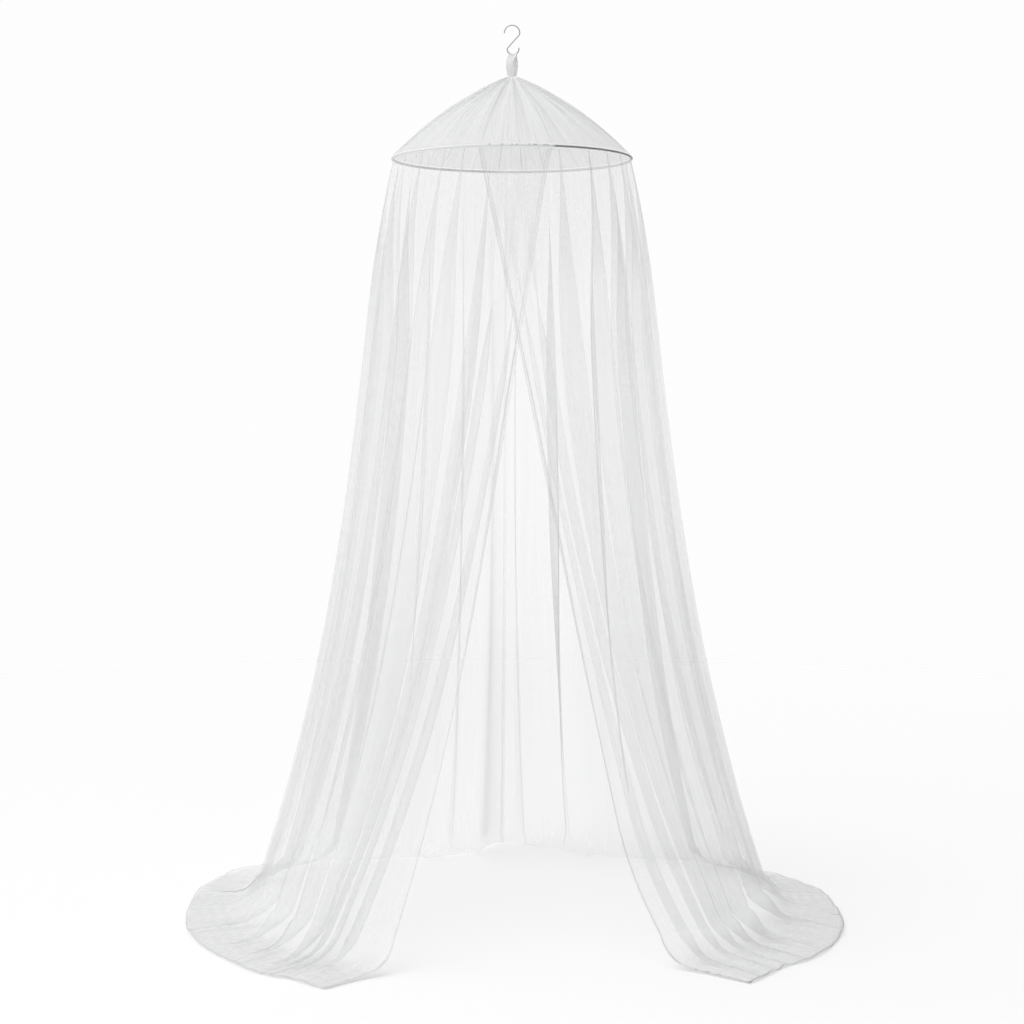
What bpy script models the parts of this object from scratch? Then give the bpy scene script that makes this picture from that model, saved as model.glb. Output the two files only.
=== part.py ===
"""Bed canopy: two sheer net curtains and a gathered crown on a round hoop, hung from an S-hook.

Metres, +Z up, front towards -Y. The origin is the crest of the hook's upper bend, where the canopy
hangs, and the floor lies HANG below it. Run with blender --background --python part.py.
"""

import math

import bmesh
import bpy
from mathutils import Matrix, Vector

# Heights over the floor
HANG = 2.235
HOOP_HEIGHT = 1.904
CROWN_TOP = 2.1095
LOOP_TOP = 2.1655
BEND_HEIGHT = 0.070

HOOP_RADIUS = 0.300
WIRE = 0.0022
TURNS = 48

SHEET = 0.0012
GAP = 0.0003
CASING_INNER = WIRE + 2 * GAP
CASING_OUTER = CASING_INNER + SHEET
CASING_SLIT = math.radians(50)

# A panel's fall from the hoop to the bend at the floor: share of the height, share of the flare
FALL = (0.0, 0.05, 0.14, 0.32, 0.50, 0.69, 0.87, 1.0)
FLARE = (0.0, 0.058, 0.134, 0.240, 0.370, 0.550, 0.785, 1.0)
FALL_ROWS = (0.0, 0.03, 0.07, 0.13, 0.21, 0.31, 0.42, 0.54, 0.66, 0.78, 0.89, 1.0)
TRAIN_ROWS = (0.14, 0.32, 0.55, 0.78, 1.0)
WAIST = 0.46
LEFT_TURN = 0.70
RIGHT_TURN = 0.95
BEND_REACH = 0.11
COLUMNS_A_FOLD = 5

# One row a fold, from the front edge round to the back seam. Hoop, waist and foot are its angles from
# the front, in degrees, and sweep is how far it turns on just above the floor. Radius is where it meets
# the floor, train is what lies on the floor past that, and swing turns the train towards the side. Lean
# and depth are how far the cloth doubles back and how far its layers stand apart, as shares of the way
# to the next fold.
FOLD_COLUMNS = ("hoop", "waist", "foot", "sweep", "radius", "train", "swing", "lean", "depth")
LEFT_FOLDS = (
    (-19.0, 6.1, 25.0, 0.0, 0.638, 0.200, 22.0, 0.00, 0.04),
    (-11.0, 10.5, 36.0, 0.0, 0.630, 0.185, 6.0, 0.40, 0.21),
    (0.0, 16.6, 39.4, 0.0, 0.640, 0.185, 4.0, 0.46, 0.25),
    (9.0, 21.2, 42.2, 0.0, 0.638, 0.190, 2.0, 0.42, 0.27),
    (22.0, 31.8, 45.4, 0.0, 0.648, 0.185, 0.0, 0.52, 0.32),
    (32.0, 42.6, 52.6, 0.0, 0.640, 0.190, 0.0, 0.46, 0.30),
    (46.0, 52.5, 60.5, 0.0, 0.648, 0.185, 0.0, 0.44, 0.34),
    (60.0, 63.5, 72.0, 0.0, 0.644, 0.190, 0.0, 0.50, 0.30),
    (79.0, 83.0, 87.0, 0.0, 0.648, 0.180, 0.0, 0.14, 0.19),
    (97.0, 101.0, 103.0, 0.0, 0.648, 0.190, 0.0, -0.40, 0.31),
    (113.0, 115.0, 118.0, 0.0, 0.638, 0.180, 0.0, -0.44, 0.30),
    (129.0, 131.0, 134.0, 0.0, 0.600, 0.060, 0.0, -0.14, 0.22),
    (146.0, 148.0, 151.0, 0.0, 0.520, 0.036, 0.0, -0.12, 0.18),
    (162.0, 166.5, 167.0, 0.0, 0.515, 0.034, 0.0, -0.14, 0.18),
    (177.0, 177.3, 177.4, 0.0, 0.640, 0.030, 0.0, 0.00, 0.04),
)
RIGHT_FOLDS = (
    (-15.7, 13.1, 28.5, 4.5, 0.630, 0.240, 19.0, 0.00, 0.04),
    (-8.0, 17.2, 36.5, 3.5, 0.632, 0.222, 5.0, 0.44, 0.23),
    (2.0, 21.2, 44.0, 1.5, 0.636, 0.205, 3.0, 0.42, 0.23),
    (22.0, 29.4, 49.8, 0.0, 0.642, 0.196, 0.0, 0.48, 0.31),
    (38.0, 39.9, 54.6, 0.0, 0.640, 0.212, 0.0, 0.46, 0.30),
    (50.0, 51.0, 61.2, 0.0, 0.644, 0.212, 0.0, 0.52, 0.34),
    (62.0, 62.8, 75.0, 0.0, 0.642, 0.206, 0.0, 0.44, 0.32),
    (79.0, 82.0, 87.0, 0.0, 0.648, 0.183, 0.0, 0.12, 0.19),
    (96.0, 99.0, 102.0, 0.0, 0.648, 0.170, 0.0, -0.44, 0.31),
    (112.0, 114.0, 117.0, 0.0, 0.634, 0.118, 0.0, -0.36, 0.30),
    (129.0, 130.0, 133.0, 0.0, 0.598, 0.060, 0.0, -0.12, 0.22),
    (150.0, 151.0, 153.0, 0.0, 0.526, 0.036, 0.0, -0.18, 0.24),
    (171.0, 173.0, 171.0, 0.0, 0.584, 0.032, 0.0, -0.30, 0.26),
    (183.0, 182.7, 182.6, 0.0, 0.640, 0.030, 0.0, 0.00, 0.04),
)
FOLDS_OPEN = 0.27
SWEEP_START = 0.85
MOST_DEPTH = 0.024
HOOP_DEPTH = 0.0007
INSET = 0.75
BEND_DEPTH = 0.019
BEND_LEAN = 0.75
FLOOR_DEPTH = 0.005
FLOOR_LEAN = 0.50
OVERLAP_AT_HOOP = 0.0017
OVERLAP_BELOW = 0.013
OVERLAP_START = 18.0
OVERLAP_END = 34.0

# The crown from its gathered neck to the hoop: radius, height over the floor, depth of its gathers
CROWN = (
    (0.0125, 2.1080, 0.0006),
    (0.0220, 2.1045, 0.0018),
    (0.0480, 2.0930, 0.0034),
    (0.0830, 2.0750, 0.0042),
    (0.1280, 2.0485, 0.0046),
    (0.1730, 2.0195, 0.0044),
    (0.2210, 1.9830, 0.0036),
    (0.2630, 1.9465, 0.0022),
    (0.3005, 1.9101, 0.0004),
)
CROWN_GATHERS = 20
CROWN_COLUMNS = 4

STRAP_WIDTH = 0.020
STRAP = 0.0013
STRAP_TWIST = math.radians(-22)
STRAP_STEPS = 28
STRAP_BEND = 0.22
STRAP_BULGE = 0.0115
STRAP_FOOT = 0.0045
STRAP_SEAT = 0.0001

HOOK_WIRE = 0.0015
UPPER_BEND = 0.0192
LOWER_BEND = 0.0146
CUP = LOWER_BEND - HOOK_WIRE - STRAP / 2 - 2 * GAP
LOWER_CENTRE = (0.0025, LOOP_TOP + CUP)

NET = ("net", (0.93, 0.935, 0.94), 0.85, 0.0)
TAPE = ("tape", (0.90, 0.905, 0.91), 0.80, 0.0)
STEEL = ("steel", (0.62, 0.62, 0.63), 0.28, 1.0)
WIRE_METAL = ("wire", (0.55, 0.55, 0.56), 0.45, 0.8)


def clear_scene():
    for obj in list(bpy.data.objects):
        bpy.data.objects.remove(obj, do_unlink=True)


def material(name, colour, roughness, metallic):
    found = bpy.data.materials.get(name)
    if found:
        return found
    made = bpy.data.materials.new(name)
    made.use_nodes = True
    shader = made.node_tree.nodes["Principled BSDF"]
    shader.inputs["Base Color"].default_value = (*colour, 1)
    shader.inputs["Roughness"].default_value = roughness
    shader.inputs["Metallic"].default_value = metallic
    return made


def add_object(name, data, finish):
    obj = bpy.data.objects.new(name, data)
    data.materials.append(material(*finish))
    bpy.context.scene.collection.objects.link(obj)
    return obj


def add_mesh(name, bm, finish):
    bmesh.ops.recalc_face_normals(bm, faces=bm.faces)
    mesh = bpy.data.meshes.new(name)
    bm.to_mesh(mesh)
    bm.free()
    mesh.shade_smooth()
    return add_object(name, mesh, finish)


def thicken(obj, thickness):
    solidify = obj.modifiers.new("thickness", "SOLIDIFY")
    solidify.thickness = thickness
    solidify.offset = 0


def smooth(low, high, value):
    """0 below low, 1 above high, and a soft step between."""
    share = max(0.0, min(1.0, (value - low) / (high - low)))
    return share * share * (3 - 2 * share)


def read(places, values, place):
    """The value at a place on a smooth curve through a table's values."""
    last = len(places) - 1
    i = max(k for k in range(last) if places[k] <= place or k == 0)
    step = places[i + 1] - places[i]
    share = (place - places[i]) / step

    def slope(k):
        before, after = max(k - 1, 0), min(k + 1, last)
        return (values[after] - values[before]) / (places[after] - places[before]) * step

    return (
        values[i] * (1 + 2 * share) * (1 - share) ** 2
        + values[i + 1] * (3 - 2 * share) * share**2
        + slope(i) * share * (1 - share) ** 2
        - slope(i + 1) * (1 - share) * share**2
    )


def read_fold(folds, column, phase):
    values = [row[FOLD_COLUMNS.index(column)] for row in folds]
    return read(range(len(folds)), values, phase)


def turn(folds, phase, fall):
    """A fold's angle from the front, in degrees, at a share of the fall."""
    power = LEFT_TURN if folds is LEFT_FOLDS else RIGHT_TURN
    at, waist = fall**power, WAIST**power
    low = max(0.0, fall - SWEEP_START) / (1 - SWEEP_START)
    return (
        read_fold(folds, "hoop", phase) * (at - waist) * (at - 1) / waist
        + read_fold(folds, "waist", phase) * at * (at - 1) / (waist * (waist - 1))
        + read_fold(folds, "foot", phase) * at * (at - waist) / (1 - waist)
        + read_fold(folds, "sweep", phase) * low * low
    )


def panel_point(folds, side, phase, fall, train):
    """A point of a panel. Fall runs from 0 at the hoop to 1 at the floor bend, then train from 0 to 1."""
    # The cloth doubles back along each fold, not at all at the hoop and fully lower down
    opened = smooth(-0.02, FOLDS_OPEN, fall)
    wave = math.sin(2 * math.pi * phase)
    lean = read_fold(folds, "lean", phase) * opened
    lean *= 1 - (1 - BEND_LEAN) * smooth(0.7, 1.0, fall) - (BEND_LEAN - FLOOR_LEAN) * smooth(0, 0.4, train)
    place = phase - lean * wave
    place = max(0.0, min(len(folds) - 1.0, place))

    angle = math.radians(turn(folds, place, fall))
    radius = HOOP_RADIUS + (read_fold(folds, "radius", place) - HOOP_RADIUS) * read(FALL, FLARE, fall)
    top = HOOP_HEIGHT - CASING_OUTER - GAP - SHEET / 2
    height = top + (BEND_HEIGHT - top) * fall

    # The left panel laps over the right one in front
    lap = OVERLAP_AT_HOOP + OVERLAP_BELOW * smooth(0, 0.15, fall) * (1 - smooth(0.4, 0.8, fall))
    radius -= side * lap * (1 - smooth(OVERLAP_START, OVERLAP_END, read_fold(folds, "hoop", place)))

    ahead = min(phase + 0.01, len(folds) - 1)
    behind = max(phase - 0.01, 0)
    pitch = math.radians(turn(folds, ahead, fall) - turn(folds, behind, fall)) / (ahead - behind)
    depth = min(read_fold(folds, "depth", phase) * pitch * radius, MOST_DEPTH)
    depth = HOOP_DEPTH + (depth - HOOP_DEPTH) * opened
    depth += (min(depth, BEND_DEPTH) - depth) * smooth(0.8, 1.0, fall)

    # At the floor the sheet bends outwards and lies down
    lying = 0.0
    reached = 0.0
    if train > 0:
        length = read_fold(folds, "train", place)
        reached = length * train
        left = max(0.0, 1 - reached / min(BEND_REACH, length))
        height = BEND_HEIGHT * left**3
        lying = 1 - left**3
        depth += (min(depth, FLOOR_DEPTH) - depth) * smooth(0, 1, lying)
    tilt = lying * math.pi / 2
    heading = angle + math.radians(read_fold(folds, "swing", place)) * smooth(0, 0.5, train)

    out = Vector((side * math.sin(angle), -math.cos(angle), 0))
    onward = Vector((side * math.sin(heading), -math.cos(heading), 0))
    point = out * radius + onward * (reached - depth * (wave + INSET) * math.cos(tilt))
    height += depth * (1 - wave) * math.sin(tilt) + SHEET / 2 * lying
    point.x += side * GAP
    point.z = height - HANG
    return point


def panel(name, folds, side):
    """A net curtain: one sheet from the front edge to the back seam, from the hoop to the hem."""
    rows = [(fall, 0.0) for fall in FALL_ROWS] + [(1.0, train) for train in TRAIN_ROWS]
    last = len(folds) - 1
    columns = last * COLUMNS_A_FOLD + 1
    bm = bmesh.new()
    bmesh.ops.create_grid(bm, x_segments=columns, y_segments=len(rows) - 1, size=1)
    for vert in bm.verts:
        column = round((vert.co.x + 1) / 2 * columns)
        row = round((vert.co.y + 1) / 2 * (len(rows) - 1))
        # Half a step off, so that two columns share each sharp turn
        phase = max(0.0, min(last, (column - 0.5) / COLUMNS_A_FOLD))
        vert.co = panel_point(folds, side, phase, *rows[row])
    thicken(add_mesh(name, bm, NET), SHEET)


def crown():
    """The gathered cone between the neck and the hoop, closed at its neck."""
    columns = CROWN_GATHERS * CROWN_COLUMNS
    bm = bmesh.new()
    bmesh.ops.create_grid(bm, x_segments=columns, y_segments=len(CROWN) - 1, size=1)
    for vert in bm.verts:
        turned = (vert.co.x + 1) * math.pi
        radius, height, depth = CROWN[round((1 - vert.co.y) / 2 * (len(CROWN) - 1))]
        wave = math.cos(CROWN_GATHERS * turned) + 0.35 * math.cos(3 * turned + 1) - 1
        radius += depth * wave * 0.5
        vert.co = (radius * math.cos(turned), radius * math.sin(turned), height + depth * wave - HANG)
    bmesh.ops.remove_doubles(bm, verts=bm.verts, dist=0.00005)
    neck = [e for e in bm.edges if e.is_boundary and e.verts[0].co.z > CROWN[1][1] - HANG]
    cap = bmesh.ops.contextual_create(bm, geom=neck)["faces"]
    peak = bmesh.ops.poke(bm, faces=cap)["verts"][0]
    peak.co.z = CROWN_TOP - HANG
    thicken(add_mesh("crown", bm, NET), SHEET)


def ring(name, section, closed, finish):
    """A section in the XZ plane turned once round the canopy's axis."""
    bm = bmesh.new()
    verts = [bm.verts.new((x, 0, z)) for x, z in section]
    edges = [bm.edges.new((verts[i], verts[i + 1])) for i in range(len(verts) - 1)]
    if closed:
        edges.append(bm.edges.new((verts[-1], verts[0])))
    bmesh.ops.spin(
        bm, geom=verts + edges, cent=(0, 0, 0), axis=(0, 0, 1), angle=2 * math.pi, steps=TURNS,
        use_merge=True,
    )
    bmesh.ops.remove_doubles(bm, verts=bm.verts, dist=0.00001)
    return add_mesh(name, bm, finish)


def arc(centre, radius, start, end, steps):
    """Points of an arc, from one angle to another."""
    angles = [start + (end - start) * k / steps for k in range(steps + 1)]
    return [(centre[0] + radius * math.cos(a), centre[1] + radius * math.sin(a)) for a in angles]


def hoop():
    centre = (HOOP_RADIUS, HOOP_HEIGHT - HANG)
    ring("hoop", arc(centre, WIRE, 0, 2 * math.pi, 8)[:-1], True, WIRE_METAL)


def casing():
    """The strip sewn round the hoop, open along a narrow slit on its inner side."""
    centre = (HOOP_RADIUS, HOOP_HEIGHT - HANG)
    start, end = math.pi + CASING_SLIT / 2, 3 * math.pi - CASING_SLIT / 2
    outside = arc(centre, CASING_OUTER, start, end, 8)
    inside = arc(centre, CASING_INNER, end, start, 8)
    ring("casing", outside + inside, True, TAPE)


def strap_point(share, across):
    """A point of the hanging loop: share runs round it from its front foot to its back foot."""
    bottom = CROWN_TOP + SHEET / 2 + STRAP_SEAT
    reach = LOOP_TOP - bottom
    round_wire = HOOK_WIRE + STRAP / 2 + 2 * GAP
    from_top = abs(2 * share - 1)
    if from_top < STRAP_BEND:
        bent = from_top / STRAP_BEND * math.pi / 2
        drop, half_gap = round_wire * (1 - math.cos(bent)), round_wire * math.sin(bent)
        down = 0.0
    else:
        down = (from_top - STRAP_BEND) / (1 - STRAP_BEND)
        drop = round_wire + (reach - round_wire) * down
        bulge = STRAP_BULGE * math.sin(math.pi * down**0.8) ** 1.2
        half_gap = round_wire + bulge + (STRAP_FOOT - round_wire) * down
    # Over the hook the strap is cupped in the bend, and below it the loop turns a little
    free = smooth(0, 0.3, down)
    place = Vector((across, math.copysign(half_gap, share - 0.5), 0))
    place = Matrix.Rotation(STRAP_TWIST * free, 3, "Z") @ place
    cup = CUP - math.sqrt(CUP * CUP - across * across)
    place.x += LOWER_CENTRE[0] * (1 - free)
    place.z = LOOP_TOP - drop + cup * (1 - free) - HANG
    return place


def hanging_loop():
    bm = bmesh.new()
    bmesh.ops.create_grid(bm, x_segments=4, y_segments=STRAP_STEPS, size=1)
    for vert in bm.verts:
        vert.co = strap_point((vert.co.y + 1) / 2, vert.co.x * STRAP_WIDTH / 2)
    thicken(add_mesh("hanging_loop", bm, TAPE), STRAP)


def hook():
    """The S-hook: an upper bend to hang by, a slant, and a lower bend for the loop."""
    upper_centre = (0.0, HANG + HOOK_WIRE - UPPER_BEND)
    upper = arc(upper_centre, UPPER_BEND, math.radians(182), math.radians(-12), 18)
    lower = arc(LOWER_CENTRE, LOWER_BEND, math.radians(172), math.radians(376), 18)
    curve = bpy.data.curves.new("hook", "CURVE")
    curve.dimensions = "3D"
    curve.bevel_depth = HOOK_WIRE
    curve.bevel_resolution = 2
    curve.use_fill_caps = True
    spline = curve.splines.new("POLY")
    spline.points.add(len(upper + lower) - 1)
    for point, (x, height) in zip(spline.points, upper + lower):
        point.co = (x, 0, height - HANG, 1)
    add_object("hook", curve, STEEL)


clear_scene()
hook()
hanging_loop()
crown()
hoop()
casing()
panel("left_panel", LEFT_FOLDS, -1)
panel("right_panel", RIGHT_FOLDS, 1)
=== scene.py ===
import math

import bmesh
import bpy
import numpy as np
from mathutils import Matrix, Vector


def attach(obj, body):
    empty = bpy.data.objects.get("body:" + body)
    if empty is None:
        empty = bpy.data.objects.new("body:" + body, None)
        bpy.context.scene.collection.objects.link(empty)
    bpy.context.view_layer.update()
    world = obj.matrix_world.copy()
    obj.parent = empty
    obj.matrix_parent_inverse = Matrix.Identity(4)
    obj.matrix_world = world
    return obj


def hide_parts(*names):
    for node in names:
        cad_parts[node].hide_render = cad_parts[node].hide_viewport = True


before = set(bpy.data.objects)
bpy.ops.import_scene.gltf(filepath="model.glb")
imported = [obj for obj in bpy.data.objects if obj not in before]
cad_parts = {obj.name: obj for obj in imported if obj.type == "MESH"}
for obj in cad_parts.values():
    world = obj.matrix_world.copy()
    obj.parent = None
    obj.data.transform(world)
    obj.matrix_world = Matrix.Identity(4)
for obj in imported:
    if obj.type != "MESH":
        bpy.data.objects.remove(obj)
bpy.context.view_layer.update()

print("frame loaded")

# Camera at the photo's angle
camera = dict(
    place=(0.0, -5.0, 1.342),  # metres, height over the floor
    pitchDown=3.75,  # degrees
    focalPixels=1968.0,
    imagePixels=1024.0,
    sensor=36.0,
)
hangHeight = 2.235  # the hanging point over the floor; the frame's origin is there


def makeCamera(c):
    data = bpy.data.cameras.new("camera")
    data.sensor_width = c["sensor"]
    data.lens = c["sensor"] * c["focalPixels"] / c["imagePixels"]
    data.dof.use_dof = False
    cam = bpy.data.objects.new("camera", data)
    x, y, height = c["place"]
    cam.location = (x, y, height - hangHeight)
    cam.rotation_euler = (math.radians(90 - c["pitchDown"]), 0, 0)
    bpy.context.scene.collection.objects.link(cam)
    bpy.context.scene.camera = cam


makeCamera(camera)
print("camera placed")


# Node helpers
def newMaterial(name):
    made = bpy.data.materials.new(name)
    made.use_nodes = True
    return made, made.node_tree, made.node_tree.nodes["Principled BSDF"]


# A value sets the node's own property, or else the socket of that name
def addNode(tree, kind, **values):
    node = tree.nodes.new(kind)
    for key, value in values.items():
        if hasattr(node, key):
            setattr(node, key, value)
        else:
            node.inputs[key].default_value = value
    return node


def setSockets(node, values):
    for name, value in values.items():
        node.inputs[name].default_value = value


# In the order of the sockets: another node's output is linked, a plain value is set
def feedSockets(tree, node, values):
    for socket, value in zip(node.inputs, values):
        if isinstance(value, bpy.types.NodeSocket):
            tree.links.new(value, socket)
        else:
            socket.default_value = value


def math2(tree, operation, first, second):
    node = addNode(tree, "ShaderNodeMath", operation=operation)
    feedSockets(tree, node, (first, second))
    return node.outputs[0]


def vectorMath(tree, operation, *values):
    node = addNode(tree, "ShaderNodeVectorMath", operation=operation)
    feedSockets(tree, node, values)
    return node


def mapRange(tree, value, fromSpan, toSpan):
    node = tree.nodes.new("ShaderNodeMapRange")
    feedSockets(tree, node, (value, *fromSpan, *toSpan))
    return node.outputs["Result"]


def readMap(tree):
    return addNode(tree, "ShaderNodeUVMap", uv_map="cloth").outputs["UV"]


def readNumbers(tree, name):
    return addNode(tree, "ShaderNodeAttribute", attribute_name=name).outputs["Fac"]


def splitParts(tree, vector):
    node = tree.nodes.new("ShaderNodeSeparateXYZ")
    tree.links.new(vector, node.inputs[0])
    return node.outputs


noiseSpan = (0.3, 0.7)  # where most of a noise's values lie


def addNoise(tree, vector, scale, detail):
    node = addNode(tree, "ShaderNodeTexNoise", Scale=scale, Detail=detail)
    tree.links.new(vector, node.inputs["Vector"])
    return node


# Woven cells, each second row moved on by half a cell
def addWeave(tree, vector, w):
    node = addNode(tree, "ShaderNodeTexBrick", offset=0.5, Scale=w["scale"])
    setSockets(node, {
        "Mortar Size": w["thread"],
        "Mortar Smooth": w["soft"],
        "Brick Width": w["width"],
        "Row Height": w["height"],
    })
    tree.links.new(vector, node.inputs["Vector"])
    return node.outputs["Fac"]


# The colour, down to a darker share of it where the value is low
def tintShader(tree, shader, value, colour, darker):
    tint = addNode(tree, "ShaderNodeMix", data_type="RGBA")
    tint.inputs[6].default_value = (*[c * darker for c in colour], 1)
    tint.inputs[7].default_value = (*colour, 1)
    tree.links.new(value, tint.inputs[0])
    tree.links.new(tint.outputs[2], shader.inputs["Base Color"])


def bumpShader(tree, shader, height, strength, distance, invert=False):
    bump = addNode(tree, "ShaderNodeBump", invert=invert, Strength=strength, Distance=distance)
    tree.links.new(height, bump.inputs["Height"])
    tree.links.new(bump.outputs["Normal"], shader.inputs["Normal"])


# Net: a fine mesh of threads on the cloth's own map, in metres, thicker where the cloth is gathered
net = dict(
    # The net's colour is its own white set darker, with painted shade for the grey its layers show
    colour=(0.76, 0.763, 0.770),
    darker=0.965,
    weave=dict(scale=100.0, width=0.16, height=0.13, thread=0.016, soft=0.25),  # meshes 1.6 by 1.3 mm
    threadAlpha=0.21,
    holeAlpha=0.066,
    mostAlpha=0.92,
    roughness=0.85,
    sheen=0.12,
    sheenRoughness=0.4,
    specular=0.25,
    bump=0.00006,
    bumpStrength=0.5,
    stray=0.0005,  # how far the threads stray, in metres
    strayScale=160.0,
    strayDetail=2.0,
    streaks=110.0,  # fine gathers a metre
    streakLong=0.02,
    streakDetail=3.0,
    streakDepth=0.16,
    stitchIn=0.0092,  # stitching line from the edge
    stitchWide=0.0005,
    stitchLong=0.0032,
    stitchShare=0.7,  # thread, the rest of a stitch is the gap
    stitchAlpha=0.85,
)


# Short dashes of thread beside the edges
def makeStitches(tree, cloth, n):
    across = readNumbers(tree, "fromEdge")
    off = math2(tree, "ABSOLUTE", math2(tree, "SUBTRACT", across, n["stitchIn"]), 0.0)
    line = math2(tree, "LESS_THAN", off, n["stitchWide"])
    parts = splitParts(tree, cloth)
    along = math2(tree, "ADD", parts["X"], parts["Y"])
    along = math2(tree, "FRACT", math2(tree, "DIVIDE", along, n["stitchLong"]), 0.0)
    dash = math2(tree, "LESS_THAN", along, n["stitchShare"])
    return math2(tree, "MULTIPLY", math2(tree, "MULTIPLY", line, dash), n["stitchAlpha"])


def makeNet(name, n):
    mat, tree, shader = newMaterial(name)
    cloth = readMap(tree)
    astray = addNoise(tree, cloth, n["strayScale"], n["strayDetail"]).outputs["Color"]
    strayed = vectorMath(tree, "MULTIPLY_ADD", astray, (n["stray"],) * 3, cloth).outputs["Vector"]
    threads = addWeave(tree, strayed, n["weave"])
    drawn = vectorMath(tree, "MULTIPLY", cloth, (1.0, n["streakLong"], 1.0)).outputs["Vector"]
    streaks = addNoise(tree, drawn, n["streaks"], n["streakDetail"]).outputs["Fac"]

    weave = mapRange(tree, threads, (0, 1), (n["holeAlpha"], n["threadAlpha"]))
    vary = mapRange(tree, streaks, noiseSpan, (1 - n["streakDepth"], 1 + n["streakDepth"]))
    alpha = math2(tree, "MULTIPLY", weave, readNumbers(tree, "threadsDeep"))
    alpha = math2(tree, "MULTIPLY", alpha, vary)
    alpha = math2(tree, "MAXIMUM", alpha, makeStitches(tree, cloth, n))
    alpha = math2(tree, "MINIMUM", alpha, n["mostAlpha"])
    tree.links.new(alpha, shader.inputs["Alpha"])

    tintShader(tree, shader, streaks, n["colour"], n["darker"])
    bumpShader(tree, shader, threads, n["bumpStrength"], n["bump"])
    setSockets(shader, {
        "Roughness": n["roughness"],
        "Sheen Weight": n["sheen"],
        "Sheen Roughness": n["sheenRoughness"],
        "Specular IOR Level": n["specular"],
    })
    return mat


netMaterial = makeNet("sheerNet", net)
# The heading's net is the same net in a lighter colour, with less of that painted shade
headingMaterial = makeNet("headingNet", dict(net, colour=(0.86, 0.865, 0.87)))
print("net material made")


# Smooth steps, blends and smooth curves through a table, for whole arrays at once
def smoothStep(low, high, value):
    share = np.clip((value - low) / (high - low), 0.0, 1.0)
    return share * share * (3 - 2 * share)


def blend(first, second, share):
    return first + (second - first) * share


def readCurve(places, values, at):
    places = np.asarray(places, float)
    values = np.asarray(values, float)
    last = len(places) - 1
    index = np.arange(last + 1)
    before, after = np.maximum(index - 1, 0), np.minimum(index + 1, last)
    slope = (values[after] - values[before]) / (places[after] - places[before])
    i = np.clip(np.searchsorted(places, at, side="right") - 1, 0, last - 1)
    step = places[i + 1] - places[i]
    share = (at - places[i]) / step
    return (
        values[i] * (1 + 2 * share) * (1 - share) ** 2
        + values[i + 1] * (3 - 2 * share) * share**2
        + slope[i] * step * share * (1 - share) ** 2
        - slope[i + 1] * step * (1 - share) * share**2
    )


# A curtain's folds, one row a fold from the front edge round to the back seam, as in the frame's solids.
# Hoop, waist and foot are angles from the front in degrees; sweep turns the fold on near the floor. Radius
# is where it meets the floor and train what lies there; swing turns the train; lean and depth say how far
# the cloth doubles back.
foldColumns = ("hoop", "waist", "foot", "sweep", "radius", "train", "swing", "lean", "depth")
leftFolds = (
    (-19.0, 6.1, 25.0, 0.0, 0.638, 0.200, 22.0, 0.00, 0.04),
    (-11.0, 10.5, 36.0, 0.0, 0.630, 0.185, 6.0, 0.40, 0.21),
    (0.0, 16.6, 39.4, 0.0, 0.640, 0.185, 4.0, 0.46, 0.25),
    (9.0, 21.2, 42.2, 0.0, 0.638, 0.190, 2.0, 0.42, 0.27),
    (22.0, 31.8, 45.4, 0.0, 0.648, 0.185, 0.0, 0.52, 0.32),
    (32.0, 42.6, 52.6, 0.0, 0.640, 0.190, 0.0, 0.46, 0.30),
    (46.0, 52.5, 60.5, 0.0, 0.648, 0.185, 0.0, 0.44, 0.34),
    (60.0, 63.5, 72.0, 0.0, 0.644, 0.190, 0.0, 0.50, 0.30),
    (79.0, 83.0, 87.0, 0.0, 0.648, 0.180, 0.0, 0.14, 0.19),
    (97.0, 101.0, 103.0, 0.0, 0.648, 0.190, 0.0, -0.40, 0.31),
    (113.0, 115.0, 118.0, 0.0, 0.638, 0.180, 0.0, -0.44, 0.30),
    (129.0, 131.0, 134.0, 0.0, 0.600, 0.060, 0.0, -0.14, 0.22),
    (146.0, 148.0, 151.0, 0.0, 0.520, 0.036, 0.0, -0.12, 0.18),
    (162.0, 166.5, 167.0, 0.0, 0.515, 0.034, 0.0, -0.14, 0.18),
    (177.0, 177.3, 177.4, 0.0, 0.640, 0.030, 0.0, 0.00, 0.04),
)
rightFolds = (
    (-15.7, 13.1, 28.5, 4.5, 0.630, 0.240, 19.0, 0.00, 0.04),
    (-8.0, 17.2, 36.5, 3.5, 0.632, 0.222, 5.0, 0.44, 0.23),
    (2.0, 21.2, 44.0, 1.5, 0.636, 0.205, 3.0, 0.42, 0.23),
    (22.0, 29.4, 49.8, 0.0, 0.642, 0.196, 0.0, 0.48, 0.31),
    (38.0, 39.9, 54.6, 0.0, 0.640, 0.212, 0.0, 0.46, 0.30),
    (50.0, 51.0, 61.2, 0.0, 0.644, 0.212, 0.0, 0.52, 0.34),
    (62.0, 62.8, 75.0, 0.0, 0.642, 0.206, 0.0, 0.44, 0.32),
    (79.0, 82.0, 87.0, 0.0, 0.648, 0.183, 0.0, 0.12, 0.19),
    (96.0, 99.0, 102.0, 0.0, 0.648, 0.170, 0.0, -0.44, 0.31),
    (112.0, 114.0, 117.0, 0.0, 0.634, 0.118, 0.0, -0.36, 0.30),
    (129.0, 130.0, 133.0, 0.0, 0.598, 0.060, 0.0, -0.12, 0.22),
    (150.0, 151.0, 153.0, 0.0, 0.526, 0.036, 0.0, -0.18, 0.24),
    (171.0, 173.0, 171.0, 0.0, 0.584, 0.032, 0.0, -0.30, 0.26),
    (183.0, 182.7, 182.6, 0.0, 0.640, 0.030, 0.0, 0.00, 0.04),
)
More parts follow.
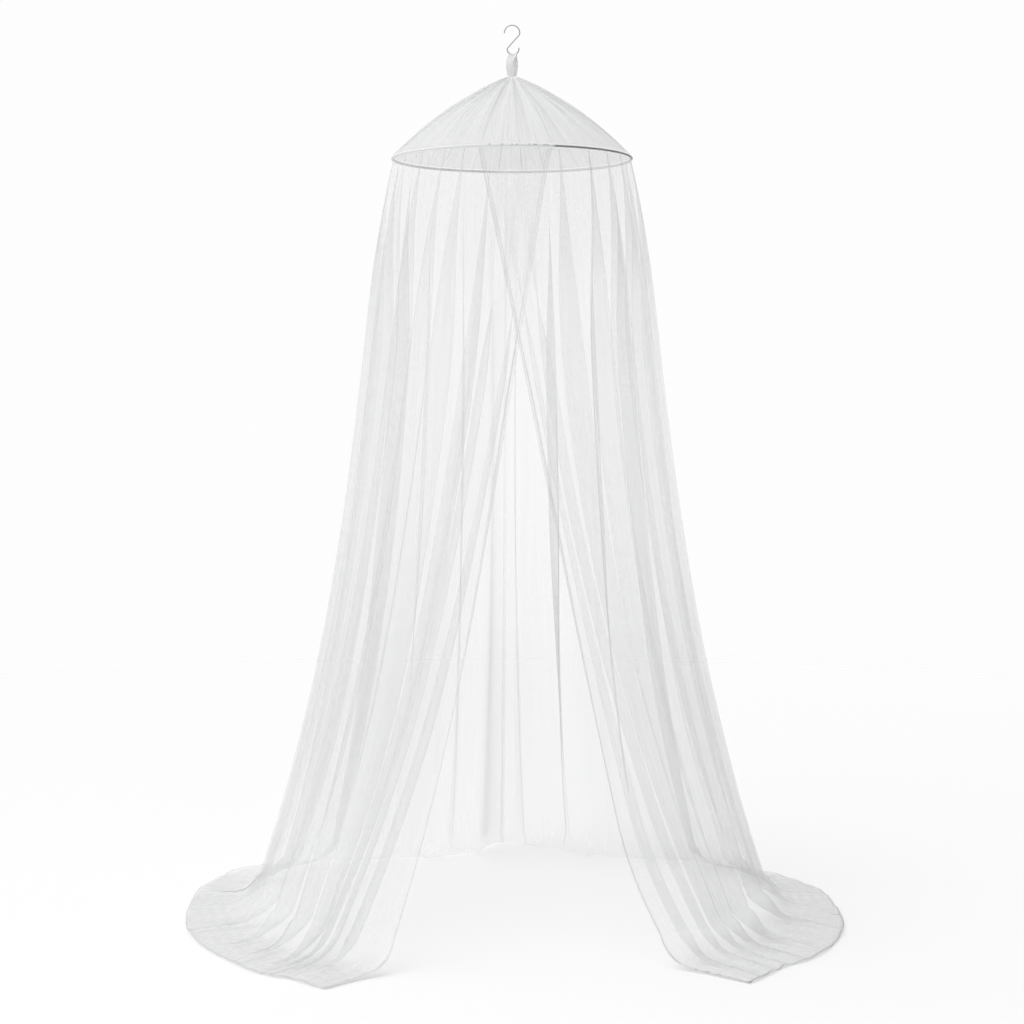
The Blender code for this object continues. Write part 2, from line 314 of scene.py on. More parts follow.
# The fall runs from 0 at the hoop to 1 at the bend over the floor, the train from 0 at the bend to 1 at
# its hem, and the phase counts folds from the front edge. A pair named after one of them says where on it a
# change starts and ends.
curtain = dict(
    top=1.8990,  # height of the upper edge
    bendHeight=0.070,
    bendReach=0.11,
    bendPower=3,
    hoopRadius=0.300,
    sheet=0.0012,
    gap=0.0003,
    fallPlaces=(0.0, 0.05, 0.14, 0.32, 0.50, 0.69, 0.87, 1.0),
    flare=(0.0, 0.058, 0.134, 0.240, 0.370, 0.550, 0.785, 1.0),
    waist=0.46,
    turnPower={-1: 0.70, 1: 0.95},  # left and right
    seed={-1: 1.3, 1: 4.2},
    sweepStart=0.85,
    swingTrain=(0, 0.5),
    # How far the folds stand out
    mostDepth=0.024,
    hoopDepth=0.0007,
    bendDepth=0.019,
    floorDepth=0.005,
    inset=0.75,
    openFall=(-0.02, 0.27),
    bendFall=(0.8, 1.0),
    flatterBy=0.7,
    flatterTrain=(0.4, 1),
    pitchStep=0.01,
    # How far they double back
    leanFall=(-0.25, 0.35),
    edgePhase=(2.1, 2.9),
    edgeFall=(0.12, 0.32),
    backFall=(0.45, 0.8),
    backEased=0.35,
    bendLean=0.75,
    bendLeanFall=(0.7, 1.0),
    floorLean=0.50,
    floorLeanTrain=(0, 0.4),
    leanTrain=(0.3, 0.97),
    # The left curtain laps over the right one
    overlapAtHoop=0.0017,
    overlapBelow=0.013,
    overlapAngles=(18.0, 34.0),
    overlapFall=(0, 0.15),
    partedFall=(0.4, 0.8),
    # Gathers under the hoop, then creases between the main folds
    small=(
        dict(
            perFold=6.3, count=10000, uneven=0.8, sharp=1.2, lean=0.10, depth=0.0016,
            start=(-0.3, -0.1), end=(0.12, 0.36),
        ),
        dict(
            perFold=2.3, count=10000, uneven=0.6, sharp=6.0, lean=0.19, depth=0.0030,
            start=(-0.1, 0.5), end=(0.5, 1.6),
        ),
    ),
    smallStray=2.1,
    smallPhase=(0, 0.35),
    smallFlatter=0.5,
    smallTrain=(0, 0.6),
    # Waves and creases of what lies on the floor
    ripple=dict(height=0.0025, seed=3, around=21, along=14, lying=(0.2, 1)),
    wrinkle=dict(
        height=0.0028, seed=5, around=6, along=210, stray=2.5, sharp=3, start=(0.1, 0.4), end=(0.8, 0.97)
    ),
    columnsPerFold=44,
    rowsDown=84,
    rowsOnFloor=24,
    rowPower=1.15,
    turnedCells=2,  # columns or rows of cells in a turned edge
    hemWidth=0.011,
    hemGap=0.0009,
    edgeStep=0.12,
    seamWidth=0.004,
    seamPitch=0.09,  # cloth from the last fold to the seam
    clothPerFold=0.19,
    clothFall=1.88,
    clothTrain=0.19,
    # How closely the threads lie, first at hems and seam, with painted shade on the left hem
    turnedMost=1.4,
    hemPlaces=(0.0, 0.35, 0.42, 0.62, 0.72, 1.0),
    # The left hem is much denser than the right halfway down: its real doubled hem, darkened further with
    # painted shade
    hemDensityAndShade={-1: (1.3, 1.7, 3.4, 3.4, 2.0, 1.6), 1: (1.0, 1.1, 1.2, 1.4, 1.4, 1.4)},
    hemOnFloor=1.2,
    hemLower=0.3,
    evenOnFloor=0.7,
    evenTrain=(0.0, 0.3),
    trainDensity=3.7,
    trainEndThinner=0.5,
    trainEnd=(0.92, 1.0),
    # Then down the fall: front folds, side folds, back, and a factor for each side, where the right
    # curtain's extra density is painted shade
    closePlaces=(0.0, 0.10, 0.20, 0.47, 0.62, 0.75, 0.90, 1.0),
    closeFront=(1.50, 1.32, 0.90, 0.90, 0.94, 0.99, 1.14, 1.3),
    closeSide=(1.50, 1.16, 0.60, 0.57, 0.74, 0.88, 0.92, 1.2),
    closeBack=(1.50, 1.32, 0.97, 1.06, 1.35, 1.65, 1.55, 1.4),
    # Denser net on the right curtain, so it shows darker: painted shade on the side away from the light
    shadeBySide={-1: 0.97, 1: 1.07},
    sidePhase=(2.5, 5.0),
    backPhase=(8.5, 11.0),
)
coarser = 1


def readFold(folds, column, phase):
    values = [row[foldColumns.index(column)] for row in folds]
    return readCurve(range(len(folds)), values, phase)


def foldAngle(c, folds, side, phase, fall):
    power = c["turnPower"][side]
    at, waist = fall**power, c["waist"] ** power
    low = np.maximum(0.0, fall - c["sweepStart"]) / (1 - c["sweepStart"])
    return (
        readFold(folds, "hoop", phase) * (at - waist) * (at - 1) / waist
        + readFold(folds, "waist", phase) * at * (at - 1) / (waist * (waist - 1))
        + readFold(folds, "foot", phase) * at * (at - waist) / (1 - waist)
        + readFold(folds, "sweep", phase) * low * low
    )


# Slow uneven noise, from -1 to 1, of waves whose first place, second place and seed count this much
wanderWaves = ((1.0, 1.7, 1.0), (2.3, -2.9, 1.7), (4.1, 0.8, 2.9))


def wander(seed, first, second):
    return sum(np.sin(first * a + second * b + seed * c) for a, b, c in wanderWaves) / len(wanderWaves)


# A steady chance value from 0 to 1 for each whole number
chanceBy = dict(number=12.9898, seed=78.233, size=43758.5453)


def chance(number, seed):
    spread = np.sin(number * chanceBy["number"] + seed * chanceBy["seed"]) * chanceBy["size"]
    return spread - np.floor(spread)


# Sharp small folds in a row, a whole number apart: how far each slides the cloth, and how far it stands
# out. They set in before and after their start, and die out before their end.
smallFold = dict(least=0.35, more=0.65, before=0.08, after=0.04, dying=0.1)


def smallFolds(kind, seed, place, fall):
    number = np.rint(place)
    turn = 2 * np.pi * (place - number)
    pinch = np.exp(kind["sharp"] * (np.cos(turn) - 1))
    number = np.mod(number, kind["count"])
    size = smallFold["least"] + smallFold["more"] * chance(number, seed)
    start = blend(*kind["start"], chance(number, seed + 1))
    end = blend(*kind["end"], chance(number, seed + 2))
    fade = smoothStep(start - smallFold["before"], start + smallFold["after"], fall)
    size = size * (fade * (1 - smoothStep(end - smallFold["dying"], end, fall)))
    return kind["lean"] * np.sin(turn) * pinch * size, kind["depth"] * pinch * size


# Places on a curtain, and which way it faces there without its folds
def curtainPoints(c, folds, side, phase, fall, train):
    last = len(folds) - 1
    seed = c["seed"][side]
    opened = smoothStep(*c["openFall"], fall)

    slid, fine = phase, 0.0
    inside = smoothStep(*c["smallPhase"], phase) * smoothStep(*c["smallPhase"], last - phase)
    for kind in c["small"]:
        place = kind["perFold"] * phase + kind["uneven"] * wander(seed, phase * c["smallStray"], 0.0)
        slide, out = smallFolds(kind, seed + kind["perFold"], place, fall)
        slid = slid - slide / kind["perFold"] * inside
        fine = fine + out * inside
    fine = -fine * (1 - c["smallFlatter"] * smoothStep(*c["smallTrain"], train))

    wave = np.sin(2 * np.pi * phase)
    nearEdge = 1 - smoothStep(*c["edgePhase"], phase)
    doubled = smoothStep(*c["leanFall"], fall) * (1 - nearEdge)
    doubled = doubled + smoothStep(*c["edgeFall"], fall) * nearEdge
    atBack = smoothStep(*c["backPhase"], phase) * smoothStep(*c["backFall"], fall)
    lean = readFold(folds, "lean", phase) * doubled * (1 - c["backEased"] * atBack)
    lean = lean * (1 - smoothStep(*c["leanTrain"], train)) * (
        1
        - (1 - c["bendLean"]) * smoothStep(*c["bendLeanFall"], fall)
        - (c["bendLean"] - c["floorLean"]) * smoothStep(*c["floorLeanTrain"], train)
    )
    place = np.clip(slid - lean * wave, 0.0, last)

    angle = np.radians(foldAngle(c, folds, side, place, fall))
    flare = readCurve(c["fallPlaces"], c["flare"], fall)
    radius = blend(c["hoopRadius"], readFold(folds, "radius", place), flare)
    lap = c["overlapBelow"] * smoothStep(*c["overlapFall"], fall) * (1 - smoothStep(*c["partedFall"], fall))
    lap = c["overlapAtHoop"] + lap
    radius = radius - side * lap * (1 - smoothStep(*c["overlapAngles"], readFold(folds, "hoop", place)))

    ahead = np.minimum(phase + c["pitchStep"], last)
    behind = np.maximum(phase - c["pitchStep"], 0)
    pitch = np.radians(foldAngle(c, folds, side, ahead, fall) - foldAngle(c, folds, side, behind, fall))
    pitch = pitch / (ahead - behind)
    depth = np.minimum(readFold(folds, "depth", phase) * pitch * radius, c["mostDepth"])
    depth = blend(c["hoopDepth"], depth, opened)
    depth = blend(depth, np.minimum(depth, c["bendDepth"]), smoothStep(*c["bendFall"], fall))

    # The bend over the floor, and the train beyond it
    length = readFold(folds, "train", place)
    reached = length * train
    left = np.maximum(0.0, 1 - reached / np.minimum(c["bendReach"], length)) ** c["bendPower"]
    onFloor = np.where(train > 0, 1.0, 0.0)
    height = np.where(onFloor > 0, c["bendHeight"] * left, blend(c["top"], c["bendHeight"], fall))
    lying = onFloor * (1 - left)
    depth = blend(depth, np.minimum(depth, c["floorDepth"]), smoothStep(0, 1, lying))
    depth = depth * (1 - c["flatterBy"] * smoothStep(*c["flatterTrain"], train))
    tilt = lying * np.pi / 2
    heading = angle + np.radians(readFold(folds, "swing", place)) * smoothStep(*c["swingTrain"], train)

    r, w = c["ripple"], c["wrinkle"]
    ripple = r["height"] * (1 + wander(seed + r["seed"], angle * r["around"], reached * r["along"]))
    ripple = ripple * smoothStep(*r["lying"], lying)
    stray = w["stray"] * wander(seed + w["seed"], angle * w["around"], 0 * angle)
    wrinkles = w["height"] * np.exp(w["sharp"] * (np.sin(reached * w["along"] + stray) - 1))
    ripple = ripple + wrinkles * smoothStep(*w["start"], train) * (1 - smoothStep(*w["end"], train))

    out = np.stack([side * np.sin(angle), -np.cos(angle), 0 * angle], axis=1)
    onward = np.stack([side * np.sin(heading), -np.cos(heading), 0 * angle], axis=1)
    up = np.array([[0.0, 0.0, 1.0]])
    forward = reached - depth * (wave + c["inset"]) * np.cos(tilt) + fine * np.cos(tilt)
    points = out * radius[:, None] + onward * forward[:, None]
    height = height + depth * (1 - wave) * np.sin(tilt) + c["sheet"] * lying
    height = height + ripple - fine * np.sin(tilt)
    points[:, 0] += side * c["gap"]
    points[:, 2] = height - hangHeight
    facing = out * np.cos(tilt)[:, None] + up * np.sin(tilt)[:, None]
    return points, facing


# A grid of cells, with the place of each vertex in it from -1 to 1
def makeGrid(across, along):
    bm = bmesh.new()
    bmesh.ops.create_grid(bm, x_segments=across, y_segments=along, size=1)
    return bm, np.array([vert.co[:2] for vert in bm.verts])


def addMesh(name, bm, material):
    mesh = bpy.data.meshes.new(name)
    bm.to_mesh(mesh)
    bm.free()
    mesh.shade_smooth()
    mesh.materials.append(material)
    piece = bpy.data.objects.new(name, mesh)
    bpy.context.scene.collection.objects.link(piece)
    return piece


def addCloth(name, bm, points, material):
    for vert, point in zip(bm.verts, points):
        vert.co = point
    return addMesh(name, bm, material)


# A map of the flat cloth, in metres
def setClothMap(mesh, u, v):
    layer = mesh.uv_layers.new(name="cloth")
    corners = np.zeros(len(mesh.loops), np.int32)
    mesh.loops.foreach_get("vertex_index", corners)
    flat = np.stack([u[corners], v[corners]], axis=1).astype(np.float32)
    layer.data.foreach_set("uv", flat.ravel())


def setNumbers(mesh, name, values):
    attribute = mesh.attributes.new(name, "FLOAT", "POINT")
    attribute.data.foreach_set("value", values.astype(np.float32))


# How many threads lie behind each other where the cloth turns away from its own face
def gatheredDensity(mesh, facing, most=2.6):
    normals = np.zeros(len(mesh.vertices) * 3, np.float32)
    mesh.vertex_normals.foreach_get("vector", normals)
    towards = np.abs((normals.reshape(-1, 3) * facing).sum(axis=1))
    return 1 / np.maximum(towards, 1 / most)


def makeCurtain(name, folds, side, c):
    last = len(folds) - 1
    columns = last * c["columnsPerFold"] // coarser
    down, onFloor = c["rowsDown"] // coarser, c["rowsOnFloor"] // coarser
    turned = c["turnedCells"]
    across, along = turned + columns + turned, down + onFloor + turned
    bm, place = makeGrid(across, along)
    column = np.rint((place[:, 0] + 1) / 2 * across) - turned
    row = np.rint((place[:, 1] + 1) / 2 * along)

    # Rows past the hem run back under the cloth
    rowBack = np.maximum(0, row - down - onFloor)
    row = row - 2 * rowBack
    fall = np.minimum(1.0, row / down) ** c["rowPower"]
    length = c["clothTrain"]
    train = np.clip((row - down) / onFloor, 0, 1)
    train = np.where(rowBack > 0, 1 - rowBack / turned * c["hemWidth"] / length, train)

    # Columns before the front edge run back behind the cloth
    columnBack = np.maximum(0, -column)
    phase = np.abs(column) / columns * last
    edge, _ = curtainPoints(c, folds, side, np.zeros_like(fall), fall, train)
    near, _ = curtainPoints(c, folds, side, np.full_like(fall, c["edgeStep"]), fall, train)
    perFold = np.linalg.norm(near - edge, axis=1) / c["edgeStep"]
    phase = np.where(columnBack > 0, columnBack / turned * c["hemWidth"] / perFold, phase)

    # Columns past the seam turn back too
    seamBack = np.maximum(0, column - columns)
    phase = np.where(seamBack > 0, last - seamBack / turned * c["seamWidth"] / c["seamPitch"], phase)

    points, facing = curtainPoints(c, folds, side, phase, fall, train)
    behind = c["hemGap"] * (smoothStep(0, 1, columnBack + seamBack) + smoothStep(0, 1, rowBack))
    piece = addCloth(name, bm, points - facing * behind[:, None], netMaterial)
    u = np.where(columnBack > 0, -1, 1) * phase * c["clothPerFold"]
    setClothMap(piece.data, u, fall * c["clothFall"] + train * length)

    fromSide = phase * perFold
    fromFoot = (1 - train) * length + np.where(train > 0, 0.0, 1.0)
    setNumbers(piece.data, "fromEdge", np.minimum(fromSide, fromFoot))

    onTrain = smoothStep(*c["evenTrain"], train)
    density = gatheredDensity(piece.data, facing)
    density = density + (1 - density) * c["evenOnFloor"] * onTrain
    hem = (fromSide < c["hemWidth"]) | (rowBack > 0)
    seam = (last - phase) * c["seamPitch"] < c["seamWidth"]
    # The hem's own doubled density, with painted shade added on the left hem
    hemDensityAndShade = blend(readCurve(c["hemPlaces"], c["hemDensityAndShade"][side], fall), c["hemOnFloor"], onTrain)
    density = np.where(hem | seam, np.minimum(density, c["turnedMost"]), density)
    density = density * np.where(hem, hemDensityAndShade, 1.0)
    toSide, toBack = smoothStep(*c["sidePhase"], phase), smoothStep(*c["backPhase"], phase)
    front, sides, back = (
        readCurve(c["closePlaces"], c[key], fall) for key in ("closeFront", "closeSide", "closeBack")
    )
    close = front * (1 - toSide) + sides * toSide * (1 - toBack) + back * toBack
    close = close * (1 + (c["trainDensity"] - 1) * onTrain * (1 - toBack))
    close = close * (1 - c["trainEndThinner"] * smoothStep(*c["trainEnd"], train))
    close = close * np.where(rowBack > 0, c["hemLower"], 1.0)
    # The right curtain's extra density here is painted shade
    setNumbers(piece.data, "threadsDeep", density * (close * c["shadeBySide"][side]))
    return piece


leftCurtain = makeCurtain("leftCurtain", leftFolds, -1, curtain)
rightCurtain = makeCurtain("rightCurtain", rightFolds, 1, curtain)
print("curtains made")

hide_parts("left_panel")
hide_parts("right_panel")
for piece in (leftCurtain, rightCurtain):
    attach(piece, "root")


# Crown: a cone of net gathered to the neck. Each row of the profile is a radius, its height over the floor
# and the depth of the gathers there.
crown = dict(
    profile=(
        (0.0125, 2.1080, 0.0006),
        (0.0220, 2.1045, 0.0018),
        (0.0480, 2.0930, 0.0034),
        (0.0830, 2.0750, 0.0042),
        (0.1280, 2.0485, 0.0046),
        (0.1730, 2.0195, 0.0044),
        (0.2210, 1.9830, 0.0036),
        (0.2630, 1.9465, 0.0022),
        (0.3005, 1.9101, 0.0004),
    ),
    gathers=20,
    gatherShare=0.65,
    uneven=0.35,
    unevenWaves=3,
    unevenTurn=1,
    inwards=0.5,
    seed=0.5,
    held=(0.90, 1.0),
    facing=(0.55, 0.83),
    columns=1440,
    rows=72,
    # Pleats that fan out from the neck, then thin creases near the hoop
    lines=(
        dict(count=46, uneven=0.9, sharp=2.5, lean=0.19, depth=0.0022, start=(0.25, 0.5), end=(1.1, 1.6)),
        dict(count=118, uneven=1.4, sharp=1.2, lean=0.17, depth=0.0012, start=(0.3, 0.7), end=(1.1, 1.6)),
    ),
    clothAround=0.30,
    clothDown=0.045,
    closeAtHoop=3.6,
    closerAtNeck=1.4,
    neckRadii=(0.12, 0.02),
    evenShare=0.68,
    turnedShare=0.32,
)


def makeCrown(name, c):
    radii, heights, depths = (np.array(values) for values in zip(*c["profile"]))
    bm, place = makeGrid(c["columns"] // coarser, c["rows"] // coarser)
    share = (1 - place[:, 1]) / 2 * (len(radii) - 1)
    turned = (place[:, 0] + 1) * np.pi
    turned = np.where(place[:, 0] > 1 - 1e-6, 0.0, turned)
    slots = np.arange(len(radii))
    radius = readCurve(slots, radii, share)
    height = readCurve(slots, heights, share)
    depth = readCurve(slots, depths, share)

    sway = c["uneven"] * np.cos(c["unevenWaves"] * turned + c["unevenTurn"])
    drop = depth * (np.cos(c["gathers"] * turned) + sway - 1) * c["gatherShare"]
    outwards = share / (len(radii) - 1)
    held = 1 - smoothStep(*c["held"], outwards)
    slid = turned
    for kind in c["lines"]:
        stray = kind["uneven"] * np.sin(c["unevenWaves"] * turned + kind["count"])
        place = kind["count"] * turned / (2 * np.pi) + stray
        slide, out = smallFolds(kind, kind["count"] + c["seed"], place, outwards)
        slid = slid - slide * 2 * np.pi / kind["count"]
        drop = drop - out * held
    radius = radius + drop * c["inwards"]
    across, ahead = np.cos(slid), np.sin(slid)
    points = np.stack([radius * across, radius * ahead, height + drop - hangHeight], axis=1)
    level, upright = c["facing"]
    facing = np.stack([level * across, level * ahead, upright + 0 * slid], axis=1)
    piece = addCloth(name, bm, points, netMaterial)
    setClothMap(piece.data, slid * c["clothAround"], share * c["clothDown"])
    close = c["closeAtHoop"] + c["closerAtNeck"] * smoothStep(*c["neckRadii"], radius)
    density = c["evenShare"] + c["turnedShare"] * gatheredDensity(piece.data, facing)
    setNumbers(piece.data, "threadsDeep", density * close)
    return piece


crownNet = makeCrown("crownNet", crown)
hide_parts("crown")
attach(crownNet, "root")
print("crown made")


# Sleeve: a strip of net rolled round the hoop, its edges lapped and sewn below, doubled by the
# curtain's heading in front on the left
sleeve = dict(
    hoopRadius=0.300,
    height=1.904,
    tube=0.0036,
    rolled=3.3,  # half a turn and a little over
    overlap=0.00004,
    gathers=dict(count=150, uneven=0.8, sharp=2.0, lean=0.10, depth=0.0007, start=(-1, -1), end=(9, 9)),
    unevenWaves=4,
    seed=2.4,
    stitchAt=0.8,  # of the way from the middle of the strip to its edge
    columns=1200,
    around=14,
    # Degrees from the front, left negative, and how dense the net is there. It is thin on the near right
    # and at the back on the left, so the dark wire shows through where the hoop lies in shade: painted
    # shade. It is dense elsewhere, and doubled by the heading in front on the left
    places=(-180.0, -170.0, -120.0, -105.0, 17.0, 20.0, 84.0, 92.0, 180.0),
    density=(26.0, 9.0, 12.0, 30.0, 30.0, 1.4, 1.4, 24.0, 26.0),
    # Short stretches above, between these degrees, where the wire shows through
    thin=dict(start=-12.0, end=17.0, perDegree=0.9, seed=3, share=0.35, above=-0.3, density=0.12),
    mottled=dict(share=0.25, seed=1.0, waves=(19, 7)),
)


def makeSleeve(name, s):
    bm, place = makeGrid(s["columns"] // coarser, s["around"])
    turned, rolled = place[:, 0] * np.pi, place[:, 1] * s["rolled"]
    kind = s["gathers"]
    number = kind["count"] * turned / (2 * np.pi) + kind["uneven"] * np.sin(s["unevenWaves"] * turned)
    _, pinch = smallFolds(kind, s["seed"], number, 0 * turned)
    tube = s["tube"] - pinch + s["overlap"] * rolled
    radius = s["hoopRadius"] + tube * np.sin(rolled)
    height = s["height"] - hangHeight + tube * np.cos(rolled)
    points = np.stack([radius * np.sin(turned), -radius * np.cos(turned), height], axis=1)
    piece = addCloth(name, bm, points, headingMaterial)
    setClothMap(piece.data, turned * s["hoopRadius"], rolled * s["tube"])

    degrees = np.degrees(turned)
    # Thin net where the hoop lies in shade lets the dark wire show: painted shade
    density = np.interp(degrees, s["places"], s["density"])
    thin, mottled = s["thin"], s["mottled"]
    bare = (degrees > thin["start"]) & (degrees < thin["end"]) & (np.cos(rolled) > thin["above"])
    bare = bare & (chance(np.rint(degrees * thin["perDegree"]), thin["seed"]) < thin["share"])
    density = np.where(bare, density * thin["density"], density)
    uneven = wander(mottled["seed"], *(turned * waves for waves in mottled["waves"]))
    setNumbers(piece.data, "threadsDeep", density * (1 + mottled["share"] * uneven))
    seam = s["rolled"] * s["tube"] * s["stitchAt"]
    setNumbers(piece.data, "fromEdge", seam - np.abs(rolled) * s["tube"] + net["stitchIn"])
    return piece


hoopSleeve = makeSleeve("hoopSleeve", sleeve)
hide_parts("casing")
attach(hoopSleeve, "root")
print("sleeve made")


# Hook and hanging loop: a woven tape bent over the hook's lower bend, its feet sewn to the neck
hookWire = dict(
    wire=0.0015,
    upperRadius=0.0192,
    upperAngles=(182.0, -12.0),
    lowerRadius=0.0146,
    lowerAngles=(172.0, 376.0),
    lowerAside=0.0025,
    steps=56,
    bevelCells=6,
    endRadii=(0.45, 0.88),  # the cut ends are rounded off
)
tape = dict(
    width=0.020,
    length=0.128,
    thickness=0.0011,
    top=2.1655,
    bottom=2.1102,
    solidTape=0.0013,
    gap=0.0003,
    bend=0.22,
    bulge=0.0115,
    bulgePowers=(0.8, 1.2),
    foot=0.0045,
    twist=-22.0,
    twistDown=(0, 0.3),
    ribs=9,
    ribDepth=0.00010,
    steps=140,
    across=54,
    lengthStep=0.004,
    widthStep=0.0003,
    colour=(0.93, 0.933, 0.938),
    darker=0.9,
    alpha=0.74,  # each face of the thin net tape
    weave=dict(scale=100.0, width=0.09, height=0.045, thread=0.010, soft=0.6),
    weaveShade=0.5,
    unevenScale=90.0,
    unevenDetail=2.0,
    unevenShade=(0.85, 1.0),
    bump=0.00012,
    bumpStrength=0.7,
    roughness=0.8,
    sheen=0.15,
    specular=0.3,
)


def tapePoints(t, h, share, across):
    roundWire = h["wire"] + t["solidTape"] / 2 + 2 * t["gap"]
    cupRadius = h["lowerRadius"] - h["wire"] - t["solidTape"] / 2 - 2 * t["gap"]
    reach = t["top"] - t["bottom"]
    fromTop = np.abs(2 * share - 1)
    bent = np.minimum(fromTop / t["bend"], 1) * np.pi / 2
    down = np.maximum(0, fromTop - t["bend"]) / (1 - t["bend"])
    early, pointed = t["bulgePowers"]
    bulge = t["bulge"] * np.sin(np.pi * down**early) ** pointed
    drop = roundWire * (1 - np.cos(bent)) + (reach - roundWire) * down
    halfGap = roundWire * np.sin(bent) + bulge + (t["foot"] - roundWire) * down
    free = smoothStep(*t["twistDown"], down)
    turned = math.radians(t["twist"]) * free
    along = halfGap * np.where(share < 0.5, -1.0, 1.0)
    cup = cupRadius - np.sqrt(cupRadius**2 - across**2)
    x = across * np.cos(turned) - along * np.sin(turned) + h["lowerAside"] * (1 - free)
    y = across * np.sin(turned) + along * np.cos(turned)
    z = t["top"] - drop + cup * (1 - free) - hangHeight
    return np.stack([x, y, z], axis=1)


def makeTapeMaterial(name, t):
    mat, tree, shader = newMaterial(name)
    cloth = readMap(tree)
    threads = addWeave(tree, cloth, t["weave"])
    uneven = addNoise(tree, cloth, t["unevenScale"], t["unevenDetail"]).outputs["Fac"]
    shade = math2(tree, "SUBTRACT", 1.0, math2(tree, "MULTIPLY", threads, t["weaveShade"]))
    shade = math2(tree, "MULTIPLY", shade, mapRange(tree, uneven, noiseSpan, t["unevenShade"]))
    tintShader(tree, shader, shade, t["colour"], t["darker"])
    bumpShader(tree, shader, threads, t["bumpStrength"], t["bump"], invert=True)
    setSockets(shader, {
        "Alpha": t["alpha"],
        "Roughness": t["roughness"],
        "Sheen Weight": t["sheen"],
        "Specular IOR Level": t["specular"],
    })
    return mat


def makeTape(name, t, h):
    bm, place = makeGrid(t["across"], t["steps"])
    share, across = (place[:, 1] + 1) / 2, place[:, 0] * t["width"] / 2
    later, earlier = np.minimum(share + t["lengthStep"], 1), np.maximum(share - t["lengthStep"], 0)
    lengthways = tapePoints(t, h, later, across) - tapePoints(t, h, earlier, across)
    step = t["widthStep"]
    sideways = tapePoints(t, h, share, across + step) - tapePoints(t, h, share, across - step)
    normal = np.cross(lengthways, sideways)
    normal /= np.linalg.norm(normal, axis=1)[:, None]
    rib = t["ribDepth"] * np.cos(2 * np.pi * t["ribs"] * across / t["width"])
    points = tapePoints(t, h, share, across) + normal * rib[:, None]
    piece = addCloth(name, bm, points, makeTapeMaterial("wovenTape", t))
    setClothMap(piece.data, across, share * t["length"])
    solid = piece.modifiers.new("thickness", "SOLIDIFY")
    solid.thickness = t["thickness"]
    solid.offset = 0
    return piece


hangingTape = makeTape("hangingTape", tape, hookWire)
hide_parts("hanging_loop")
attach(hangingTape, "root")
print("hanging loop made")


# Wire and steel, with a faint unevenness
metal = dict(
    steel=dict(colour=(0.50, 0.50, 0.51), roughness=0.20, metallic=1.0),
    wire=dict(colour=(0.20, 0.20, 0.205), roughness=0.42, metallic=0.9),
    noiseScale=140.0,
    noiseDetail=4.0,
    roughSpan=(0.8, 1.3),
    darker=0.88,
)


def makeMetal(name, kind, m):
    mat, tree, shader = newMaterial(name)
    coords = tree.nodes.new("ShaderNodeTexCoord")
    noise = addNoise(tree, coords.outputs["Object"], m["noiseScale"], m["noiseDetail"]).outputs["Fac"]
    rough = mapRange(tree, noise, noiseSpan, [kind["roughness"] * share for share in m["roughSpan"]])
    tree.links.new(rough, shader.inputs["Roughness"])
    tintShader(tree, shader, noise, kind["colour"], m["darker"])
    setSockets(shader, {"Metallic": kind["metallic"]})
    return mat


def arcPoints(aside, height, radius, angles, steps):
    turned = np.radians(np.linspace(*angles, steps + 1))
    return np.stack([aside + radius * np.cos(turned), height + radius * np.sin(turned)], axis=1)


def makeHook(name, h, t, material):
    upperHeight = hangHeight + h["wire"] - h["upperRadius"]
    lowerHeight = t["top"] + h["lowerRadius"] - h["wire"] - t["solidTape"] / 2 - 2 * t["gap"]
    upper = arcPoints(0.0, upperHeight, h["upperRadius"], h["upperAngles"], h["steps"])
    lower = arcPoints(h["lowerAside"], lowerHeight, h["lowerRadius"], h["lowerAngles"], h["steps"])
    route = np.concatenate([upper, lower])
    data = bpy.data.curves.new(name, "CURVE")
    data.dimensions = "3D"
    data.bevel_depth = h["wire"]
    data.bevel_resolution = h["bevelCells"]
    data.use_fill_caps = True
    spline = data.splines.new("POLY")
    spline.points.add(len(route) - 1)
    for point, (x, height) in zip(spline.points, route):
        point.co = (x, 0, height - hangHeight, 1)
    for place, radius in enumerate(h["endRadii"]):
        spline.points[place].radius = spline.points[-1 - place].radius = radius
    data.materials.append(material)
    piece = bpy.data.objects.new(name, data)
    bpy.context.scene.collection.objects.link(piece)
    return piece


steelHook = makeHook("steelHook", hookWire, tape, makeMetal("platedSteel", metal["steel"], metal))
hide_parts("hook")
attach(steelHook, "root")

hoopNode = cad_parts["hoop"]
hoopNode.data.materials.clear()
hoopNode.data.materials.append(makeMetal("hoopWire", metal["wire"], metal))
print("metal made")


# Floor, light and world
stage = dict(
    floorSize=7.0,
    floorEdges=96,
    floorUnder=0.0005,
    floorFade=(1.4, 6.4),  # metres from the middle
    floorColour=(0.921, 0.921, 0.925),
    floorRoughness=0.7,
    floorSpecular=0.1,
    seen=0.985,
    domeSpan=(-0.7, 0.7),
    domeStrength=(0.90, 0.50),  # left and right
    sun=dict(place=(-1.2, -0.6, 2.6), angle=70.0, strength=1.31),
    key=dict(place=(-3.4, -3.0, 1.2), aim=(0, 0, -0.9), size=1.6, power=8.0),
)


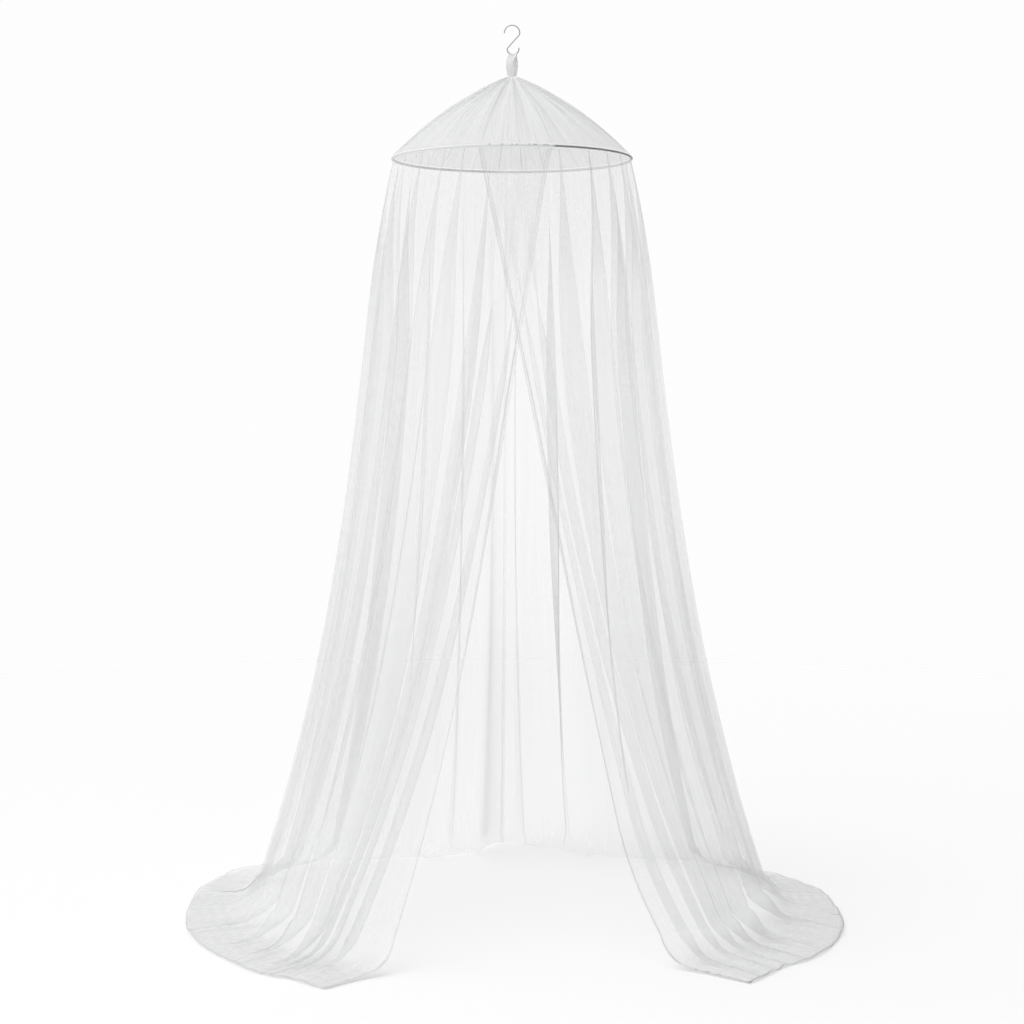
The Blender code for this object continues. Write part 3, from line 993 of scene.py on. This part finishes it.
def makeFloor(s):
    bm = bmesh.new()
    bmesh.ops.create_circle(bm, cap_ends=True, radius=s["floorSize"], segments=s["floorEdges"])
    bmesh.ops.translate(bm, verts=bm.verts, vec=(0, 0, -hangHeight - s["floorUnder"]))
    mat, tree, shader = newMaterial("paleFloor")
    coords = tree.nodes.new("ShaderNodeTexCoord")
    reach = vectorMath(tree, "LENGTH", coords.outputs["Object"]).outputs["Value"]
    alpha = mapRange(tree, reach, s["floorFade"], (1.0, 0.0))
    tree.links.new(alpha, shader.inputs["Alpha"])
    setSockets(shader, {
        "Base Color": (*s["floorColour"], 1),
        "Roughness": s["floorRoughness"],
        "Specular IOR Level": s["floorSpecular"],
    })
    floor = addMesh("floor", bm, mat)


def addLight(name, kind, place, aim):
    data = bpy.data.lights.new(name, kind)
    lamp = bpy.data.objects.new(name, data)
    lamp.location = place
    lamp.rotation_euler = (Vector(aim) - Vector(place)).to_track_quat("-Z", "Y").to_euler()
    bpy.context.scene.collection.objects.link(lamp)
    return data, lamp


def makeLights(sun, key):
    data, _ = addLight("overhead", "SUN", sun["place"], (0, 0, 0))
    data.angle = math.radians(sun["angle"])
    data.energy = sun["strength"]
    data, lamp = addLight("keyLeft", "AREA", key["place"], key["aim"])
    data.shape = "SQUARE"
    data.size = key["size"]
    data.energy = key["power"]
    lamp.visible_camera = False


# The dome lights the scene more from the left, and is seen as one plain tone
def makeWorld(s):
    world = bpy.data.worlds.new("studio")
    bpy.context.scene.world = world
    world.use_nodes = True
    tree = world.node_tree
    background = tree.nodes["Background"]
    coords = tree.nodes.new("ShaderNodeTexCoord")
    parts = splitParts(tree, coords.outputs["Generated"])
    strength = mapRange(tree, parts["X"], s["domeSpan"], s["domeStrength"])
    sight = tree.nodes.new("ShaderNodeLightPath")
    mix = addNode(tree, "ShaderNodeMix", data_type="FLOAT")
    tree.links.new(sight.outputs["Is Camera Ray"], mix.inputs[0])
    tree.links.new(strength, mix.inputs[2])
    mix.inputs[3].default_value = s["seen"]
    tree.links.new(mix.outputs[0], background.inputs["Strength"])
    background.inputs["Color"].default_value = (1, 1, 1, 1)


makeFloor(stage)
makeLights(stage["sun"], stage["key"])
makeWorld(stage)
scene = bpy.context.scene
scene.view_settings.view_transform = "Standard"
scene.cycles.transparent_max_bounces = 48
scene.cycles.diffuse_bounces = 3
scene.cycles.use_denoising = True
print("stage made")
